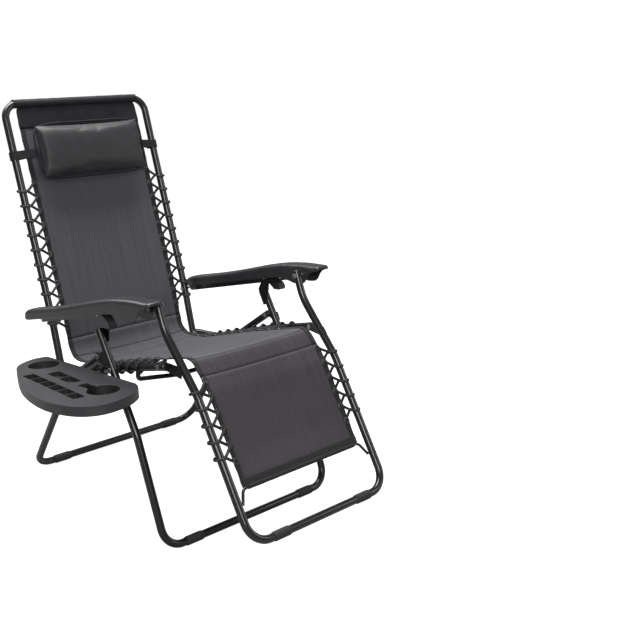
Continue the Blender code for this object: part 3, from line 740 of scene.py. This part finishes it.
# ------------------------------------------------------------------ armrests
ARM = [(-0.6680, 0.5045, 0.4960, 0.026), (-0.6665, 0.5075, 0.4935, 0.037), (-0.6620, 0.5125, 0.4905, 0.046), (-0.6540, 0.5175, 0.4895, 0.052),
       (-0.6400, 0.5245, 0.4910, 0.054),
       (-0.6100, 0.5330, 0.5000, 0.054), (-0.5530, 0.5490, 0.5165, 0.054), (-0.5000, 0.5640, 0.5320, 0.054), (-0.4520, 0.5790, 0.5465, 0.054),
       (-0.3800, 0.6020, 0.5680, 0.054), (-0.2930, 0.6330, 0.5930, 0.054), (-0.2400, 0.6490, 0.6075, 0.054), (-0.2000, 0.6600, 0.6180, 0.054),
       (-0.1700, 0.6665, 0.6175, 0.054), (-0.1500, 0.6700, 0.6160, 0.054), (-0.1350, 0.6730, 0.6130, 0.054), (-0.1120, 0.6765, 0.6170, 0.054),
       (-0.0900, 0.6790, 0.6230, 0.054), (-0.0820, 0.6797, 0.6420, 0.054), (-0.0740, 0.6805, 0.6580, 0.054), (-0.0600, 0.6820, 0.6650, 0.053),
       (-0.0500, 0.6829, 0.6685, 0.051), (-0.0445, 0.6826, 0.6705, 0.046), (-0.0412, 0.6812, 0.6730, 0.037), (-0.0405, 0.6795, 0.6755, 0.026)]
for nm, s in (("left", 1), ("right", -1)):
    bm = bmesh.new()
    rings = []
    for u, t, b, w in ARM:
        h, c = w / 2, min(0.011, (t - b) * 0.62)
        prof = [(-h, b), (-h, b + (t - c - b) * 0.33), (-h, b + (t - c - b) * 0.8), (-h, t - c), (-h + c * 0.13, t - c * 0.5), (-h + c * 0.5, t - c * 0.13),
                (-h + c, t), (-h * 0.3, t + 0.0008), (h * 0.3, t + 0.0008), (h - c, t), (h - c * 0.5, t - c * 0.13), (h - c * 0.13, t - c * 0.5),
                (h, t - c), (h, b + (t - c - b) * 0.8), (h, b + (t - c - b) * 0.33), (h, b)]
        rings.append([bm.verts.new(W(s * 0.300 + x, u, z)) for x, z in prof])
    for a, b in zip(rings, rings[1:]):
        for j in range(len(a) - 1):
            bm.faces.new((a[j], a[j + 1], b[j + 1], b[j]))
    bm.faces.new(rings[0])
    bm.faces.new(rings[-1])
    bmesh.ops.recalc_face_normals(bm, faces=bm.faces[:])
    up = sum((f.normal.z for f in bm.faces if f.calc_center_median().z > W(0, 0, 0.66).z), 0.0)
    if up < 0:
        bmesh.ops.reverse_faces(bm, faces=bm.faces[:])
    me = bpy.data.meshes.new(f"armrest_cover_{nm}")
    bm.to_mesh(me)
    bm.free()
    me.shade_smooth()
    ob = obj(f"armrest_cover_{nm}", me, [M["plastic"]])
    so = ob.modifiers.new("wall", "SOLIDIFY")
    so.thickness = 0.0024
    so.offset = -1
    ss = ob.modifiers.new("sub", "SUBSURF")
    ss.levels = ss.render_levels = 2
    carry(ob, "armrests", f"armrest_{nm}")

# ------------------------------------------------------------------ tray
TX, TU, TZ, SL = -0.331, -0.535, 0.4095, math.atan(0.05 / 0.445)
CA, SA = math.cos(SL), math.sin(SL)
EDGE = ((0.000, 0.014), (0.012, 0.002), (0.050, 0.000), (0.108, 0.032), (0.150, 0.105), (0.198, 0.215), (0.226, 0.325),
        (0.231, 0.420), (0.207, 0.500), (0.155, 0.538), (0.080, 0.530), (0.022, 0.492), (0.000, 0.450))


def T(x, v, h):
    return W(x, TU + v * CA - h * SA, TZ + v * SA + h * CA)


def outline(inset, n=8):
    """Smooth closed edge through EDGE, moved inwards by inset."""
    e = [Vector((a, b)) for a, b in EDGE]
    raw = [e[0]]
    for i in range(len(e) - 1):
        p0, p1, p2, p3 = e[max(i - 1, 0)], e[i], e[i + 1], e[min(i + 2, len(e) - 1)]
        for k in range(1, n + 1):
            f = k / n
            raw.append(0.5 * (2 * p1 + (p2 - p0) * f + (2 * p0 - 5 * p1 + 4 * p2 - p3) * f ** 2
                              + (3 * p1 - p0 - 3 * p2 + p3) * f ** 3))
    pts = []
    m = len(raw)
    for i in range(m):
        d1 = (raw[i] - raw[i - 1]).normalized()
        d2 = (raw[(i + 1) % m] - raw[i]).normalized()
        n1, n2 = Vector((-d1.y, d1.x)), Vector((-d2.y, d2.x))
        q = raw[i] + (n1 + n2) * (inset / (1 + n1.dot(n2)))
        pts.append((TX - max(q.x, 0.0), q.y))
    return pts


def prism(pts, h0, h1, mi=0):
    bm = bmesh.new()
    a = [bm.verts.new(T(x, v, h0)) for x, v in pts]
    b = [bm.verts.new(T(x, v, h1)) for x, v in pts]
    n = len(pts)
    for j in range(n):
        bm.faces.new((a[j], a[(j + 1) % n], b[(j + 1) % n], b[j]))
    bm.faces.new(a)
    bm.faces.new(b)
    bmesh.ops.recalc_face_normals(bm, faces=bm.faces[:])
    for f in bm.faces:
        f.material_index = mi
    return bm


def disc(c, r, n=48):
    return [(c[0] + r * math.cos(2 * math.pi * i / n), c[1] + r * math.sin(2 * math.pi * i / n)) for i in range(n)]


def bar(c, length, width, slant=0.0, rc=0.003):
    l, w = length / 2 - rc, width / 2 - rc
    out = []
    for cx, cy, a0 in ((w, l, 0), (-w, l, 90), (-w, -l, 180), (w, -l, 270)):
        for k in range(5):
            a = math.radians(a0 + 90 * k / 4)
            out.append((cx + rc * math.cos(a), cy + rc * math.sin(a)))
    ca, sa = math.cos(slant), math.sin(slant)
    return [(c[0] + p * ca - q * sa, c[1] + p * sa + q * ca) for p, q in out]


def keyhole(c, r, xa, xb, v0, n=46, rc=0.003):
    """A round well joined to a narrow slot that runs back to v0."""
    a0, a1 = -math.acos((xb - c[0]) / r), 2 * math.pi - math.acos((xa - c[0]) / r)
    out = [(c[0] + r * math.cos(a0 + (a1 - a0) * i / n), c[1] + r * math.sin(a0 + (a1 - a0) * i / n)) for i in range(n + 1)]
    for cx, deg in ((xa + rc, 180), (xb - rc, 270)):
        for k in range(5):
            a = math.radians(deg + 90 * k / 4)
            out.append((cx + rc * math.cos(a), v0 + rc + rc * math.sin(a)))
    return out


def cut(ob, bms, op):
    for bm in bms:
        me = bpy.data.meshes.new("c")
        bm.to_mesh(me)
        bm.free()
        me.materials.append(M["tray"])
        me.materials.append(M["well"])
        c = bpy.data.objects.new("c", me)
        bpy.context.collection.objects.link(c)
        m = ob.modifiers.new("b", "BOOLEAN")
        m.operation, m.solver, m.object = op, "EXACT", c
        bpy.context.view_layer.update()
        new = bpy.data.meshes.new_from_object(ob.evaluated_get(bpy.context.evaluated_depsgraph_get()))
        b2 = bmesh.new()
        b2.from_mesh(new)
        bmesh.ops.remove_doubles(b2, verts=b2.verts[:], dist=2e-6)
        bmesh.ops.dissolve_degenerate(b2, edges=b2.edges[:], dist=2e-6)
        bmesh.ops.triangulate(b2, faces=b2.faces[:])
        b2.to_mesh(new)
        b2.free()
        ob.modifiers.clear()
        ob.data = new
        bpy.data.objects.remove(c, do_unlink=True)


bm = prism(outline(0.0), -0.026, 0.0)
me = bpy.data.meshes.new("tray_shell")
bm.to_mesh(me)
bm.free()
tray = obj("tray_shell", me, [M["tray"], M["well"]])
CUPA, CUPB, RC = (-0.3860, 0.082), (-0.4180, 0.431), 0.0430
cut(tray, [prism(outline(0.0032), -0.036, -0.003)], "DIFFERENCE")
cut(tray, [prism(disc(CUPA, RC + 0.0025), -0.022, -0.0015),
           prism(keyhole(CUPB, RC + 0.0025, -0.4395, -0.4085, 0.338), -0.048, -0.0015),
           prism(bar((-0.4170, 0.242), 0.143, 0.039, 0.090), -0.016, -0.0015),
           prism(bar((-0.4800, 0.290), 0.310, 0.037, 0.085), -0.016, -0.0015)], "UNION")
# the wells and cells cut below take material index 1, the darker well plastic, as painted shade in these recesses
cells = []
for c, L_, wd, n, sl in (((-0.4170, 0.242), 0.138, 0.034, 2, 0.090), ((-0.4800, 0.290), 0.305, 0.032, 6, 0.085)):
    for i in range(n):
        d = L_ * ((i + 0.5) / n - 0.5)
        cells.append(prism(bar((c[0] - d * math.sin(sl), c[1] + d * math.cos(sl)), L_ / n - 0.003, wd, sl), -0.0135, 0.01, 1))
cut(tray, [prism(disc(CUPA, RC), -0.0195, 0.01, 1), prism(keyhole(CUPB, RC, -0.4370, -0.4110, 0.340), -0.0452, 0.012, 1)] + cells, "DIFFERENCE")
b2 = bmesh.new()
b2.from_mesh(tray.data)
bmesh.ops.dissolve_limit(b2, angle_limit=math.radians(1.0), verts=b2.verts[:], edges=b2.edges[:], delimit={"MATERIAL"})
b2.to_mesh(tray.data)
b2.free()
bevel(tray, 0.0014, 3, 40)
tray.data.shade_smooth()
tray.data.set_sharp_from_angle(angle=math.radians(50))
carry(tray, "tray", "side_tray")

# ------------------------------------------------------------------ stage
me = bpy.data.meshes.new("floor")
me.from_pydata([(-60, -60, 0), (60, -60, 0), (60, 60, 0), (-60, 60, 0)], [], [(0, 1, 2, 3)])
floor_m, N_, L_n, b_ = new_mat("pale_floor", (0.40, 0.40, 0.40), 0.9)
lp_ = N_.new("ShaderNodeLightPath")
b_.inputs["Emission Color"].default_value = (1, 1, 1, 1)
L_n.new(math_node(N_, L_n, "MULTIPLY", lp_.outputs["Is Camera Ray"], 0.90), b_.inputs["Emission Strength"])
floor = obj("floor", me, [floor_m])
floor.location.z = -0.0004

sc = bpy.context.scene
w = sc.world or bpy.data.worlds.new("w")
sc.world = w
w.use_nodes = True
bg = w.node_tree.nodes.get("Background")
bg.inputs["Color"].default_value = (0.99, 0.99, 1.0, 1)
wn, wl = w.node_tree.nodes, w.node_tree.links
wp = wn.new("ShaderNodeLightPath")
wl.new(math_node(wn, wl, "ADD", math_node(wn, wl, "MULTIPLY", wp.outputs["Is Camera Ray"], 0.87), 0.23), bg.inputs["Strength"])
sc.view_settings.view_transform = "Standard"


def area(name, loc, target, size, power):
    l = bpy.data.lights.new(name, "AREA")
    l.shape = "RECTANGLE"
    l.size, l.size_y = size
    l.energy = power
    o = bpy.data.objects.new(name, l)
    bpy.context.collection.objects.link(o)
    o.location = loc
    o.rotation_euler = (Vector(target) - Vector(loc)).to_track_quat("-Z", "Y").to_euler()


area("top", (0.1, 0.75, 3.0), (0.1, 0.3, 0.6), (2.2, 1.2), 115)
area("key", (-2.0, -2.8, 2.3), (0.1, 0.0, 0.5), (1.6, 1.4), 78)
area("fill", (2.8, -2.0, 1.8), (0.1, 0.0, 0.5), (1.2, 1.6), 22)
area("rim", (-0.4, 3.2, 2.6), (0.1, 0.0, 0.7), (2.0, 1.0), 45)

az, el, roll = map(math.radians, (-45.5381, 17.7381, 2.2151))
back = Vector((math.sin(az) * math.cos(el), -math.cos(az) * math.cos(el), math.sin(el)))
right = (-back).cross(Vector((0, 0, 1))).normalized()
upv = right.cross(-back)
r2 = right * math.cos(roll) + upv * math.sin(roll)
u2 = -right * math.sin(roll) + upv * math.cos(roll)
cam = bpy.data.cameras.new("camera")
cam.sensor_width = 36
cam.lens = 1017.634 / 640 * 36
co = bpy.data.objects.new("camera", cam)
bpy.context.collection.objects.link(co)
mw = Matrix((r2, u2, back)).transposed().to_4x4()
mw.translation = Vector((-1.7554 + OX, -1.9699 - OU, 1.4378 + FLOOR))
co.matrix_world = mw
sc.camera = co

bpy.context.view_layer.update()
